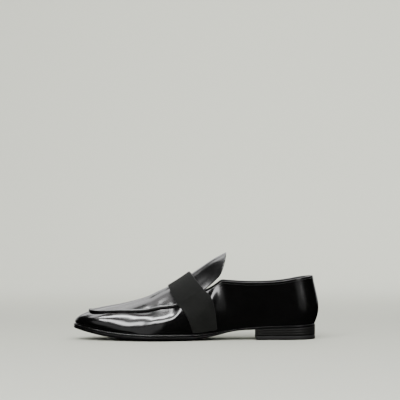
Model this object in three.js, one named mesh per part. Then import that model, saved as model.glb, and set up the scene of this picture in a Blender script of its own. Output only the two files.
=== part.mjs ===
// Black patent leather loafer for the left foot, about size EU 43, standing on its sole.
// Millimetres, +Z up. The toe points along -X and the outer side of the foot faces -Y.
// Every piece of the upper is cut from one last: walls that rise from the sole to the instep
// line, which is the apron seam in front and the tongue's edge behind, and a crown between them.
import * as THREE from 'three';

// Lengths and heights of the whole shoe.
const SHOE_LENGTH = 302; // sole's toe tip to the back of the counter
const TOE_SPRING = 13.2; // underside of the sole above the floor, just behind its tip
const SEAT_LIFT = 15.5; // underside of the sole above the floor, at the back of the seat
const BREAST_LIFT = 13.0; // the same at the heel breast
const SEAM_HEIGHT = 36.4; // apron seam above the floor along the toe box
const CREST_HEIGHT = 59.0; // top of the vamp above the floor, over the ball
const INSTEP_HEIGHT = 81.5; // the same under the back edge of the band
const TONGUE_HEIGHT = 108; // tip of the tongue above the floor
const SIDE_HEIGHT = 69; // lowest point of the topline above the floor
const BACK_HEIGHT = 77; // topline at the back of the heel above the floor

// Widths across the sole and across the last at the instep line.
const BALL_WIDTH = 101;
const WAIST_WIDTH = 61;
const SEAT_WIDTH = 63;
const TOE_WIDTH = 63; // sole, a twelfth of its length behind the tip
const APRON_WIDTH = 61; // seam to seam over the ball
const TONGUE_WIDTH = 64; // edge to edge behind the band
const COLLAR_WIDTH = 50; // last at the height of the ankle

// Pieces.
const SOLE_FOREPART = 5.1; // outsole thickness in the middle of the tread
const SOLE_SEAT = 3.0; // outsole thickness in the waist and under the heel seat
const EDGE_LIFT = 1.55; // how far the tread curves up towards its edge
const EDGE_CURVE = 44; // and over what width
const WELT_THICKNESS = 2.3;
const WELT_REACH = 3.0; // sole and welt stand out this far beyond the upper at the forepart
const TOE_REACH = 2.4; // the same at the toe
const WAIST_REACH = 0.9; // the same in the waist and round the seat
const HEEL_LENGTH = 73;
const HEEL_INSET = 5.8; // heel's back face ahead of the back of the counter
const BREAST_HOLLOW = 4; // depth of the curve across the heel breast
const TOP_PIECE_THICKNESS = 5;
const INSOLE_THICKNESS = 3.2;
const UPPER_WALL = 1.8; // patent leather and lining together
const TONGUE_WALL = 1.6;
const BAND_WALL = 1.2;
const BAND_WIDTH = 31.6;
const SEAM_RIDGE = 0.8; // height of the raised apron seam
const SEAM_WIDTH = 2.6;
const THROAT_GAP = 12; // opening between tongue and quarter at the quarter's corner
const CORNER_ROUND = 2.5; // how far that corner's rounding reaches up and down
const FIT = 0.3; // gap between touching pieces

// Stations run from 0 at the back of the counter to 1 at the sole's toe tip.
const HEEL_BACK = HEEL_INSET / SHOE_LENGTH;
const BREAST = HEEL_BACK + HEEL_LENGTH / SHOE_LENGTH;
const WELT_END = 0.35; // where the welt has tapered into the waist, on both sides
const VAMP_END = 0.522; // vamp's edge at the instep line, under the band
const BAND_SEAM = 0.5245; // middle of the band where it crosses the instep line
const BAND_FOOT = 0.4655; // middle of the band where it meets the sole
const TONGUE_FOOT = 0.548; // tongue's sewn end, lapped under the vamp
const TONGUE_TIP = 0.385; // middle of the tongue's free end
const TONGUE_ROUND = 0.035; // and the stations by which its corners stand ahead of that
const CORNER = 0.398; // front corner of the quarter, at the instep line's foot

const along = (station) => (0.5 - station) * SHOE_LENGTH;
const stationOf = (point) => 0.5 - point.x / SHOE_LENGTH;
const lerp = (a, b, share) => a + (b - a) * share;
const ramp = (from, to, x) => THREE.MathUtils.smoothstep((x - from) / (to - from), 0, 1);

// Natural cubic spline through one column of a table, as a function of its "at" column.
function column(rows, name) {
  const x = rows.map((row) => row.at);
  const y = rows.map((row) => row[name]);
  const n = x.length - 1;
  const bend = new Array(n + 1).fill(0);
  const pivot = new Array(n + 1).fill(1);
  const rest = new Array(n + 1).fill(0);
  for (let i = 1; i < n; i++) {
    const before = x[i] - x[i - 1];
    const after = x[i + 1] - x[i];
    const carry = i > 1 ? before / pivot[i - 1] : 0;
    pivot[i] = 2 * (before + after) - carry * (i > 1 ? before : 0);
    rest[i] = 6 * ((y[i + 1] - y[i]) / after - (y[i] - y[i - 1]) / before) - carry * rest[i - 1];
  }
  for (let i = n - 1; i > 0; i--) bend[i] = (rest[i] - (x[i + 1] - x[i]) * bend[i + 1]) / pivot[i];
  return (at) => {
    const clamped = THREE.MathUtils.clamp(at, x[0], x[n]);
    let i = 0;
    while (i < n - 1 && clamped > x[i + 1]) i++;
    const span = x[i + 1] - x[i];
    const b = (clamped - x[i]) / span;
    const a = 1 - b;
    const curl = ((a ** 3 - a) * bend[i] + (b ** 3 - b) * bend[i + 1]) * span * span / 6;
    return a * y[i] + b * y[i + 1] + curl;
  };
}

// Plan outline of the sole: half width either side of a centre line that swings inwards at the toe.
const SOLE_PLAN = [
  { at: 0.0, centre: 0.0, half: 0.49 * SEAT_WIDTH },
  { at: 0.12, centre: 0.0, half: 0.5 * SEAT_WIDTH },
  { at: 0.26, centre: -0.012 * BALL_WIDTH, half: 0.477 * SEAT_WIDTH },
  { at: 0.4, centre: -0.044 * BALL_WIDTH, half: 0.5 * WAIST_WIDTH },
  { at: 0.54, centre: -0.03 * BALL_WIDTH, half: 0.41 * BALL_WIDTH },
  { at: 0.67, centre: 0.004 * BALL_WIDTH, half: 0.5 * BALL_WIDTH },
  { at: 0.79, centre: 0.033 * BALL_WIDTH, half: 0.447 * BALL_WIDTH },
  { at: 0.92, centre: 0.052 * BALL_WIDTH, half: 0.52 * TOE_WIDTH },
  { at: 1.0, centre: 0.058 * BALL_WIDTH, half: 0.42 * TOE_WIDTH },
];

// Underside of the sole along its middle. Below zero it is cut flat at the floor.
const SOLE_PROFILE = [
  { at: 0.0, lift: SEAT_LIFT },
  { at: 0.13, lift: lerp(SEAT_LIFT, BREAST_LIFT, 0.45) },
  { at: 0.26, lift: BREAST_LIFT },
  { at: 0.34, lift: 0.8 * BREAST_LIFT },
  { at: 0.41, lift: 0.43 * BREAST_LIFT },
  { at: 0.48, lift: 0.1 * BREAST_LIFT },
  { at: 0.55, lift: -0.03 * TOE_SPRING },
  { at: 0.67, lift: -0.03 * TOE_SPRING },
  { at: 0.77, lift: 0.09 * TOE_SPRING },
  { at: 0.88, lift: 0.37 * TOE_SPRING },
  { at: 1.0, lift: TOE_SPRING },
];

// Instep line, round the whole last: apron seam in front, tongue's edge behind it, then high
// above the topline to the back of the heel.
const HIGH_LINE = 0.926 * TONGUE_HEIGHT;
const INSTEP_LINE = [
  { at: 0.038, centre: 0.0, half: 0.44 * COLLAR_WIDTH, height: HIGH_LINE },
  { at: 0.2, centre: 0.0, half: 0.5 * COLLAR_WIDTH, height: HIGH_LINE },
  { at: 0.31, centre: 0.0, half: 0.5 * COLLAR_WIDTH, height: 0.985 * HIGH_LINE },
  { at: 0.37, centre: 0.01 * BALL_WIDTH, half: 0.405 * TONGUE_WIDTH, height: 0.905 * HIGH_LINE },
  { at: 0.41, centre: 0.01 * BALL_WIDTH, half: 0.438 * TONGUE_WIDTH, height: 0.975 * INSTEP_HEIGHT },
  { at: 0.445, centre: 0.01 * BALL_WIDTH, half: 0.475 * TONGUE_WIDTH, height: 0.853 * INSTEP_HEIGHT },
  { at: 0.485, centre: 0.01 * BALL_WIDTH, half: 0.51 * TONGUE_WIDTH, height: 0.742 * INSTEP_HEIGHT },
  { at: 0.53, centre: 0.012 * BALL_WIDTH, half: 0.522 * TONGUE_WIDTH, height: 0.63 * INSTEP_HEIGHT },
  { at: 0.575, centre: 0.015 * BALL_WIDTH, half: 0.535 * APRON_WIDTH, height: 0.538 * INSTEP_HEIGHT },
  { at: 0.65, centre: 0.02 * BALL_WIDTH, half: 0.5 * APRON_WIDTH, height: 1.105 * SEAM_HEIGHT },
  { at: 0.69, centre: 0.024 * BALL_WIDTH, half: 0.485 * APRON_WIDTH, height: 1.035 * SEAM_HEIGHT },
  { at: 0.74, centre: 0.029 * BALL_WIDTH, half: 0.47 * APRON_WIDTH, height: 1.003 * SEAM_HEIGHT },
  { at: 0.85, centre: 0.04 * BALL_WIDTH, half: 0.44 * APRON_WIDTH, height: SEAM_HEIGHT },
  { at: 0.9, centre: 0.043 * BALL_WIDTH, half: 0.42 * APRON_WIDTH, height: 0.982 * SEAM_HEIGHT },
  { at: 0.923, centre: 0.045 * BALL_WIDTH, half: 0.41 * APRON_WIDTH, height: 0.987 * SEAM_HEIGHT },
  { at: 0.938, centre: 0.046 * BALL_WIDTH, half: 0.4 * APRON_WIDTH, height: 1.016 * SEAM_HEIGHT },
];

// Middle line over the top of the last, from the seam's front to the tongue's tip.
const CREST_LINE = [
  { at: 0.37, height: 1.022 * TONGUE_HEIGHT },
  { at: 0.4, height: 0.978 * TONGUE_HEIGHT },
  { at: 0.435, height: 0.926 * TONGUE_HEIGHT },
  { at: 0.48, height: 1.118 * INSTEP_HEIGHT },
  { at: 0.527, height: INSTEP_HEIGHT },
  { at: 0.57, height: 0.893 * INSTEP_HEIGHT },
  { at: 0.615, height: 0.794 * INSTEP_HEIGHT },
  { at: 0.655, height: CREST_HEIGHT },
  { at: 0.7, height: 0.89 * CREST_HEIGHT },
  { at: 0.75, height: 0.812 * CREST_HEIGHT },
  { at: 0.81, height: 0.738 * CREST_HEIGHT },
  { at: 0.87, height: 1.11 * SEAM_HEIGHT },
  { at: 0.91, height: 1.046 * SEAM_HEIGHT },
  { at: 0.938, height: 1.016 * SEAM_HEIGHT },
];

// How far ahead of its two ends on the instep line each line across the crown bows, in stations,
// and how square its arch is.
const CROWN = [
  { at: 0.37, bow: 0.056, power: 2.0 },
  { at: 0.475, bow: 0.052, power: 2.0 },
  { at: 0.575, bow: 0.039, power: 2.0 },
  { at: 0.65, bow: 0.024, power: 2.05 },
  { at: 0.75, bow: 0.01, power: 2.2 },
  { at: 0.85, bow: 0.003, power: 2.3 },
  { at: 0.938, bow: 0.0, power: 2.3 },
];

// Walls of the last, by station on the sole's edge: outward swing and rise of the handle above
// the sole, then the same for the handle below the instep line. Swings are shares of the ball
// width, rises are shares of the wall's height.
const WALLS = [
  { at: 0.0, swing: 0.146, rise: 0.31, turn: 0.051, drop: 0.6 },
  { at: 0.12, swing: 0.078, rise: 0.28, turn: 0.055, drop: 0.44 },
  { at: 0.26, swing: 0.075, rise: 0.28, turn: 0.055, drop: 0.38 },
  { at: 0.4, swing: 0.07, rise: 0.3, turn: 0.07, drop: 0.34 },
  { at: 0.54, swing: 0.04, rise: 0.32, turn: 0.085, drop: 0.34 },
  { at: 0.67, swing: 0.022, rise: 0.34, turn: 0.1, drop: 0.36 },
  { at: 0.8, swing: 0.022, rise: 0.33, turn: 0.1, drop: 0.34 },
  { at: 0.92, swing: 0.028, rise: 0.24, turn: 0.12, drop: 0.32 },
  { at: 1.0, swing: 0.036, rise: 0.19, turn: 0.142, drop: 0.31 },
];

// How far the quarter's front edge drops away from the tongue's, behind the vamp.
const THROAT = [
  { at: 0.37, gap: THROAT_GAP },
  { at: 0.41, gap: 0.96 * THROAT_GAP },
  { at: 0.443, gap: 0.7 * THROAT_GAP },
  { at: 0.475, gap: 0.4 * THROAT_GAP },
  { at: 0.5, gap: 0.17 * THROAT_GAP },
  { at: VAMP_END, gap: 0 },
];

// Topline of the quarters, from the back of the heel to its front corner.
const TOPLINE = [
  { at: 0.0, height: lerp(SIDE_HEIGHT, BACK_HEIGHT, 1.08) },
  { at: 0.06, height: lerp(SIDE_HEIGHT, BACK_HEIGHT, 0.82) },
  { at: 0.15, height: lerp(SIDE_HEIGHT, BACK_HEIGHT, 0.24) },
  { at: 0.25, height: SIDE_HEIGHT },
  { at: 0.34, height: lerp(SIDE_HEIGHT, BACK_HEIGHT, 0.1) },
  { at: 0.4, height: lerp(SIDE_HEIGHT, BACK_HEIGHT, 0.28) },
  { at: 0.45, height: lerp(SIDE_HEIGHT, BACK_HEIGHT, 0.4) },
];

// Position on a ring that starts at the back, runs along the outer side to the toe at 1 and
// returns along the inner side to 2: which side of the foot, and how far along that side.
function ringPlace(ring) {
  const turned = ((ring % 2) + 2) % 2;
  return turned <= 1 ? { side: -1, share: turned } : { side: 1, share: 2 - turned };
}

// Plan curve with rounded ends. A share of its side is measured along the curve's own length, and
// stands for the same station on both sides.
function planCurve({ rows, back, front, backRound, frontRound, backPower, frontPower }) {
  const centre = column(rows, 'centre');
  const width = column(rows, 'half');
  const rounded = (reach, power) => (1 - (1 - THREE.MathUtils.clamp(reach, 0, 1)) ** power) ** (1 / power);
  const half = (station) => width(station) * rounded((station - back) / backRound, backPower)
    * rounded((front - station) / frontRound, frontPower);
  const steps = 600;
  const stations = Array.from({ length: steps + 1 },
    (_, i) => lerp(back, front, (1 - Math.cos(Math.PI * i / steps)) / 2));
  const lengths = [0];
  for (let i = 1; i <= steps; i++) {
    const run = along(stations[i]) - along(stations[i - 1]);
    lengths.push(lengths[i - 1] + Math.hypot(run, half(stations[i]) - half(stations[i - 1])));
  }
  const shares = lengths.map((length) => length / lengths[steps]);
  const between = (from, to, x) => {
    let low = 0;
    let high = steps;
    while (high - low > 1) {
      const middle = (low + high) >> 1;
      if (from[middle] <= x) low = middle;
      else high = middle;
    }
    return lerp(to[low], to[high], (x - from[low]) / (from[high] - from[low]));
  };
  const stationAt = (share) => between(shares, stations, share);
  const shareAt = (station) => between(stations, shares, station);
  const point = (ring) => {
    const { side, share } = ringPlace(ring);
    const station = stationAt(share);
    return new THREE.Vector2(along(station), centre(station) + side * half(station));
  };
  const outward = (ring) => {
    const step = 0.0015;
    const tangent = point(ring + step).sub(point(ring - step)).normalize();
    return new THREE.Vector2(-tangent.y, tangent.x);
  };
  return { centre, half, stationAt, shareAt, point, outward };
}

const solePlan = planCurve({ rows: SOLE_PLAN, back: HEEL_BACK, front: 1,
  backRound: 0.105, frontRound: 0.12, backPower: 2.05, frontPower: 2.15 });
const instepPlan = planCurve({ rows: INSTEP_LINE, back: INSTEP_LINE[0].at, front: INSTEP_LINE.at(-1).at,
  backRound: 0.09, frontRound: 0.075, backPower: 2.0, frontPower: 2.4 });
const instepHeight = column(INSTEP_LINE, 'height');
const crestHeight = column(CREST_LINE, 'height');
const soleLift = column(SOLE_PROFILE, 'lift');
const toplineHeight = column(TOPLINE, 'height');
const throatGap = column(THROAT, 'gap');
const bow = column(CROWN, 'bow');
const archPower = column(CROWN, 'power');
const wall = Object.fromEntries(['swing', 'rise', 'turn', 'drop'].map((name) => [name, column(WALLS, name)]));

// Heights of the sole's layers at a station.
const treadHeight = (station) => Math.max(0, soleLift(station));
const soleThickness = (station) => lerp(SOLE_SEAT, SOLE_FOREPART, ramp(0.36, 0.56, station))
  * lerp(1, 0.8, ramp(0.9, 1, station));
const soleTop = (station) => treadHeight(station) + soleThickness(station);
const weltThickness = (station) => WELT_THICKNESS * lerp(0.22, 1, ramp(WELT_END, 0.52, station));
const weltTop = (station) => soleTop(station) + FIT + weltThickness(station);
const featherHeight = (station) => soleTop(station) + FIT
  + (weltThickness(station) + FIT) * ramp(WELT_END - 0.035, WELT_END - 0.005, station);
const reach = (station) => lerp(WAIST_REACH, WELT_REACH, ramp(0.36, 0.56, station))
  * lerp(1, TOE_REACH / WELT_REACH, ramp(0.9, 1, station));

// Stations of the two plan curves at a place on the ring.
const stationOnSole = (ring) => solePlan.stationAt(ringPlace(ring).share);
const stationOnInstep = (ring) => instepPlan.stationAt(ringPlace(ring).share);

// Point inside the sole's edge by a distance, as a plan position.
function insideSole(ring, inset) {
  return solePlan.point(ring).addScaledVector(solePlan.outward(ring), -inset);
}

function instepPoint(ring) {
  const flat = instepPlan.point(ring);
  return new THREE.Vector3(flat.x, flat.y, instepHeight(stationOnInstep(ring)));
}

// Point on the last's wall: a cubic curve up from the sole's edge to the instep line.
function wallPoint(ring, level) {
  const station = stationOnSole(ring);
  const flat = insideSole(ring, reach(station));
  const foot = new THREE.Vector3(flat.x, flat.y, featherHeight(station));
  const head = instepPoint(ring);
  const rise = head.z - foot.z;
  const footOut = solePlan.outward(ring);
  const headOut = instepPlan.outward(ring);
  const swing = wall.swing(station) * BALL_WIDTH;
  const turn = wall.turn(station) * BALL_WIDTH;
  const lower = foot.clone().add(
    new THREE.Vector3(footOut.x * swing, footOut.y * swing, rise * wall.rise(station)));
  const upper = head.clone().add(
    new THREE.Vector3(headOut.x * turn, headOut.y * turn, -rise * wall.drop(station)));
  return new THREE.CubicBezierCurve3(foot, lower, upper, head).getPoint(level);
}

// Point on the crown, across from the outer side at -1 to the inner side at 1.
function crownPoint(share, across) {
  const outer = instepPoint(share);
  const inner = instepPoint(2 - share);
  const station = instepPlan.stationAt(share);
  const crest = Math.min(INSTEP_LINE.at(-1).at, station + bow(station));
  const middle = outer.clone().lerp(inner, 0.5);
  const top = new THREE.Vector3(along(crest), middle.y, Math.max(middle.z, crestHeight(crest)));
  const arch = 1 - Math.abs(across) ** archPower(station);
  return outer.lerp(inner, (1 + across) / 2).addScaledVector(top.sub(middle), arch);
}

// Level on the wall at which the upper is cut: at the instep line as far as the vamp reaches, and
// behind it at the quarter's throat edge or topline, whichever is lower.
function cutLevel(ring) {
  if (stationOnInstep(ring) >= VAMP_END) return 1;
  const limit = (point) => {
    const station = stationOf(point);
    const throat = instepHeight(station) - throatGap(station);
    const topline = toplineHeight(station);
    const blend = Math.max(0, 1 - Math.abs(throat - topline) / CORNER_ROUND);
    return Math.min(throat, topline) - blend * blend * CORNER_ROUND / 4;
  };
  let low = 0.3;
  let high = 1;
  for (let i = 0; i < 30; i++) {
    const level = (low + high) / 2;
    const point = wallPoint(ring, level);
    if (point.z < limit(point)) low = level;
    else high = level;
  }
  return high;
}

// Sheet of triangles whose coinciding points are joined.
class Sheet {
  constructor() {
    this.points = [];
    this.tags = [];
    this.triangles = [];
    this.known = new Map();
  }

  add(point, tag = 0) {
    const key = [point.x, point.y, point.z].map((v) => Math.round(v * 1e4)).join();
    if (!this.known.has(key)) {
      this.known.set(key, this.points.length);
      this.points.push(point);
      this.tags.push(tag);
    }
    return this.known.get(key);
  }

  triangle(a, b, c) {
    if (a !== b && b !== c && c !== a) this.triangles.push([a, b, c]);
  }

  // Rows of points, every row as long as the next. Faces look along row step x column step.
  grid(rows) {
    for (let i = 0; i + 1 < rows.length; i++) {
      for (let j = 0; j + 1 < rows[i].length; j++) {
        const [a, b, c, d] = [rows[i][j], rows[i + 1][j], rows[i + 1][j + 1], rows[i][j + 1]];
        const shortFirst = this.points[a].distanceTo(this.points[c]) < this.points[b].distanceTo(this.points[d]);
        if (shortFirst) {
          this.triangle(a, b, c);
          this.triangle(a, c, d);
        } else {
          this.triangle(a, b, d);
          this.triangle(b, c, d);
        }
      }
    }
  }

  normals() {
    const sums = this.points.map(() => new THREE.Vector3());
    for (const [a, b, c] of this.triangles) {
      const face = new THREE.Vector3().subVectors(this.points[b], this.points[a])
        .cross(new THREE.Vector3().subVectors(this.points[c], this.points[a]));
      for (const i of [a, b, c]) sums[i].add(face);
    }
    return sums.map((sum) => sum.normalize());
  }

  // Closed body between two sets of places for the sheet's points, the first on the outside.
  between(outer, inner) {
    const count = this.points.length;
    const index = [];
    const open = new Map();
    for (const [a, b, c] of this.triangles) {
      index.push(a, b, c, count + a, count + c, count + b);
      for (const [from, to] of [[a, b], [b, c], [c, a]]) {
        if (!open.delete(`${to},${from}`)) open.set(`${from},${to}`, [from, to]);
      }
    }
    for (const [from, to] of open.values()) {
      index.push(from, count + from, count + to, from, count + to, to);
    }
    const geometry = new THREE.BufferGeometry().setFromPoints([...outer, ...inner]);
    geometry.setIndex(index);
    geometry.computeVertexNormals();
    return geometry;
  }

  // Closed body of the sheet between two distances along its normals.
  thickened(outside, inside) {
    const normals = this.normals();
    const place = (distance) => this.points.map((point, i) => point.clone().addScaledVector(normals[i],
      typeof distance === 'function' ? distance(this.tags[i]) : distance));
    return this.between(place(outside), place(inside));
  }

  // Closed body between two heights given at each point.
  stacked(top, bottom) {
    const place = (height) => this.points.map((p) => new THREE.Vector3(p.x, p.y, height(p)));
    return this.between(place(top), place(bottom));
  }
}

const spread = (from, to, steps) => Array.from({ length: steps + 1 }, (_, i) => lerp(from, to, i / steps));

// Ring positions of the upper's columns on one side, closer together at the quarter's corner and
// where the vamp ends.
function upperShares() {
  const corner = instepPlan.shareAt(CORNER);
  const vampEnd = instepPlan.shareAt(VAMP_END);
  return [
    ...spread(0, 0.07, 5),
    ...spread(0.07, corner - 0.02, 9).slice(1),
    ...spread(corner - 0.02, corner + 0.02, 6).slice(1),
    ...spread(corner + 0.02, vampEnd, 4).slice(1),
    ...spread(vampEnd, 0.88, 11).slice(1),
    ...spread(0.88, 1, 9).slice(1),
  ];
}

// Upper: vamp, apron and quarters as one wall, lasted round and open at the collar and below.
function upperGeometry() {
  const sheet = new Sheet();
  const shares = upperShares();
  const rings = [...shares, ...shares.slice(1, -1).reverse().map((share) => 2 - share)];
  const ridge = (ring) => SEAM_RIDGE * ramp(VAMP_END + 0.052, VAMP_END + 0.082, stationOnInstep(ring));
  const levels = [0, 0.09, 0.2, 0.33, 0.47, 0.62, 0.78, 0.9];
  const columns = [...rings, rings[0]].map((ring) => {
    const top = cutLevel(ring);
    const head = instepPoint(ring).z - featherHeight(stationOnSole(ring));
    const beside = 1 - 0.75 * SEAM_WIDTH / head;
    const ids = levels.map((level) => sheet.add(wallPoint(ring, Math.min(level, beside) * top)));
    return [...ids, sheet.add(wallPoint(ring, top), top === 1 ? ridge(ring) : 0)];
  });
  sheet.grid(columns.slice().reverse());
  const crownShares = shares.filter((share) => cutLevel(share) === 1);
  const lines = crownShares.map((share) => {
    const apart = instepPoint(share).distanceTo(instepPoint(2 - share));
    const beside = Math.max(0.5, 1 - SEAM_WIDTH / Math.max(apart, 1));
    const steps = spread(-beside, beside, 10);
    return [-1, ...steps, 1].map((across) => {
      const onSeam = Math.abs(across) === 1;
      return sheet.add(crownPoint(share, across), onSeam ? ridge(share) : 0);
    });
  });
  sheet.grid(lines.reverse());
  return sheet.thickened((raised) => raised, -UPPER_WALL);
}

// Tongue: the apron's leather carried on under the band, lapped below the vamp's edge, with a
// free end that is rounded across.
function tongueGeometry() {
  const sheet = new Sheet();
  const sides = spread(-1, 1, 14).map((step) => Math.sin(step * Math.PI / 2));
  const end = (across) => {
    const corner = TONGUE_ROUND * (1 - (1 - Math.abs(across) ** 3) ** (1 / 3));
    return TONGUE_TIP + corner - bow(TONGUE_TIP) * (1 - across ** 2);
  };
  sheet.grid(spread(0, 1, 16).map((step) => sides.map((across) => {
    const station = lerp(TONGUE_FOOT, end(across), step);
    const lap = lerp(1, 0.9, ramp(VAMP_END - 0.02, VAMP_END, station));
    return sheet.add(crownPoint(instepPlan.shareAt(station), across * lap));
  })));
  const top = -(UPPER_WALL + 1.5 * FIT);
  return sheet.thickened(top, top - TONGUE_WALL);
}

// Band: a broad ribbon over the instep, down both sides to the sole.
function bandGeometry() {
  const sheet = new Sheet();
  const seamSpan = 0.94 * BAND_WIDTH / SHOE_LENGTH;
  const footSpan = 0.86 * BAND_WIDTH / SHOE_LENGTH;
  const columns = spread(-0.5, 0.5, 6).map((across) => {
    const line = [];
    const share = instepPlan.shareAt(BAND_SEAM + across * seamSpan);
    for (const side of [-1, 1]) {
      const foot = solePlan.shareAt(BAND_FOOT + across * footSpan);
      const levels = spread(0.035, 1, 11).map((level) => {
        const place = lerp(foot, share, level ** lerp(1.45, 1.15, across + 0.5));
        return wallPoint(side < 0 ? place : 2 - place, level);
      });
      if (side < 0) line.push(...levels, ...spread(-1, 1, 16).slice(1, -1).map((u) => crownPoint(share, u)));
      else line.push(...levels.reverse());
    }
    return line.map((point) => sheet.add(point));
  });
  sheet.grid(columns.reverse());
  return sheet.thickened(1.5 * FIT + BAND_WALL, 1.5 * FIT);
}

// Plan sheet between the two sides of the sole, inset from its edge, from one station to another.
function planSheet({ shares, inset, across, front = () => 0 }) {
  const sheet = new Sheet();
  sheet.grid(shares.map((share) => {
    const outer = insideSole(share, inset(share));
    const inner = insideSole(2 - share, inset(2 - share));
    return spread(-1, 1, across).map((u) => {
      const flat = outer.clone().lerp(inner, (1 + u) / 2);
      return sheet.add(new THREE.Vector3(flat.x + front(share, u), flat.y, 0));
    });
  }).reverse());
  return sheet;
}

// Shares of a side, closer together at the rounded toe and seat.
const soleShares = [...spread(0, 0.12, 7), ...spread(0.12, 0.85, 24).slice(1), ...spread(0.85, 1, 9).slice(1)];

// Outsole: leather, flat on the floor under the ball, with its sides curving up a little.
function outsoleGeometry() {
  const sheet = planSheet({ shares: soleShares, inset: () => 0, across: 8 });
  const lift = (p) => {
    const station = stationOf(p);
    const inside = solePlan.half(station) - Math.abs(p.y - solePlan.centre(station));
    const curve = Math.max(0, 1 - inside / EDGE_CURVE) ** 2;
    return EDGE_LIFT * curve * ramp(BREAST + 0.01, BREAST + 0.12, station);
  };
  return sheet.stacked((p) => soleTop(stationOf(p)), (p) => treadHeight(stationOf(p)) + lift(p));
}

// Welt: a strip on the sole's edge, round the forepart from waist to waist.
function weltGeometry() {
  const sheet = new Sheet();
  const start = solePlan.shareAt(WELT_END);
  const half = [...spread(start, 0.86, 18), ...spread(0.86, 1, 9).slice(1)];
  const rings = [...half, ...half.slice(0, -1).reverse().map((share) => 2 - share)];
  sheet.grid(rings.map((ring) => {
    const width = reach(stationOnSole(ring)) + UPPER_WALL;
    return spread(0, width, 2).map((inset) => {
      const flat = insideSole(ring, inset);
      return sheet.add(new THREE.Vector3(flat.x, flat.y, stationOnSole(ring)));
    });
  }).reverse());
  return sheet.stacked((p) => weltTop(stationOf(p)), (p) => soleTop(stationOf(p)) + FIT);
}

// Insole: fills the bottom of the shoe inside the upper.
function insoleGeometry() {
  const inset = (ring) => reach(stationOnSole(ring)) + UPPER_WALL + 1.5 * FIT;
  const sheet = planSheet({ shares: soleShares.filter((_, i) => i % 2 === 0 || i > 32), inset, across: 4 });
  const bottom = (p) => soleTop(stationOf(p)) + FIT;
  return sheet.stacked((p) => bottom(p) + INSOLE_THICKNESS, bottom);
}

// Heel layer: the sole's outline behind a breast that curves in towards the middle.
function heelGeometry(top, bottom) {
  const end = solePlan.shareAt(BREAST);
  const shares = [...spread(0, 0.55 * end, 8), ...spread(0.55 * end, end, 5).slice(1)];
  const front = (share, u) => BREAST_HOLLOW * (1 - u * u) * Math.max(0, share / end) ** 3;
  return planSheet({ shares, inset: () => 0, across: 8, front }).stacked(top, bottom);
}

const heelBlockGeometry = () => heelGeometry(
  (p) => treadHeight(stationOf(p)) - FIT, () => TOP_PIECE_THICKNESS + FIT);
const topPieceGeometry = () => heelGeometry(() => TOP_PIECE_THICKNESS, () => 0);

const patent = new THREE.MeshStandardMaterial({ color: 0x0b0b0c, roughness: 0.08, metalness: 0 });
const ribbon = new THREE.MeshStandardMaterial({ color: 0x1f201e, roughness: 0.85, metalness: 0 });
const edgeLeather = new THREE.MeshStandardMaterial({ color: 0x141414, roughness: 0.35, metalness: 0 });
const lining = new THREE.MeshStandardMaterial({ color: 0x2a2624, roughness: 0.6, metalness: 0 });
const rubber = new THREE.MeshStandardMaterial({ color: 0x121212, roughness: 0.7, metalness: 0 });

const shoe = new THREE.Group();
function piece(name, geometry, material) {
  const mesh = new THREE.Mesh(geometry, material);
  mesh.name = name;
  shoe.add(mesh);
}

piece('top_piece', topPieceGeometry(), rubber);
piece('heel_block', heelBlockGeometry(), edgeLeather);
piece('outsole', outsoleGeometry(), edgeLeather);
piece('welt', weltGeometry(), edgeLeather);
piece('insole', insoleGeometry(), lining);
piece('upper', upperGeometry(), patent);
piece('tongue', tongueGeometry(), patent);
piece('instep_band', bandGeometry(), ribbon);

// The origin is at the middle of the shoe's box, on the floor.
const middle = new THREE.Box3().setFromObject(shoe).getCenter(new THREE.Vector3());
shoe.position.set(-middle.x, -middle.y, 0);

export default shoe;
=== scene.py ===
"""Black patent leather loafer for the left foot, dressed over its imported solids.

Metres, +Z up, toe at -X, outer side of the foot at -Y. Stations run from 0 at the back of the
counter to 1 at the sole's toe tip. A ring position starts at the back, runs along the outer side
to the toe at 1 and returns along the inner side to 2.
"""
import math

import bpy
import numpy as np
from mathutils import Matrix, Vector


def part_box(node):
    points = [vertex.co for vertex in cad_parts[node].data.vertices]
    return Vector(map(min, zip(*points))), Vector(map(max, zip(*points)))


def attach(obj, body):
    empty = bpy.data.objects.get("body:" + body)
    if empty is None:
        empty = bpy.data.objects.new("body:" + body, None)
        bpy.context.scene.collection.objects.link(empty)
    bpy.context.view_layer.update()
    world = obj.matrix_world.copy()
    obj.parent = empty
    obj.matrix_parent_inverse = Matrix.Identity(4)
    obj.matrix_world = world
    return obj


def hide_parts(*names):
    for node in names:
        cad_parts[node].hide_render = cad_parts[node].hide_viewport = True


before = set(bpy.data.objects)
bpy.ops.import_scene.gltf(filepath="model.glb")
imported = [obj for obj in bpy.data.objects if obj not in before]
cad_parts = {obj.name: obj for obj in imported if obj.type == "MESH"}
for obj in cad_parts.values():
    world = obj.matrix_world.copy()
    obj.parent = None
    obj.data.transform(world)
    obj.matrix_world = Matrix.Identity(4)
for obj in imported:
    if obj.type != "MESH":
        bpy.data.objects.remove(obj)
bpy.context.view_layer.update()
MM = 0.001


# Studio: seamless pale paper, swept from the floor up behind the shoe. The soft boxes marked gloss
# stand where the leather mirrors them, and the matt ones light the paper and the cloth. The camera
# stands level, 170 mm above the floor, square to the shoe's outer side.
PAPER_COLOUR = "#dadccf"
PAPER_SHADE = "#d5d7ca"
PAPER_FRONT = -5.0
PAPER_BACK = 3.4
PAPER_BEND = 1.6
PAPER_TOP = 5.0
PAPER_SIDE = 7.0
CAMERA_PLACE = (5.25 * MM, -2.460, 170.3 * MM)
CAMERA_ROLL = 0.25
FOCAL_PIXELS = 2004
PHOTO_PIXELS = 400
SENSOR = 36.0
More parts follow.
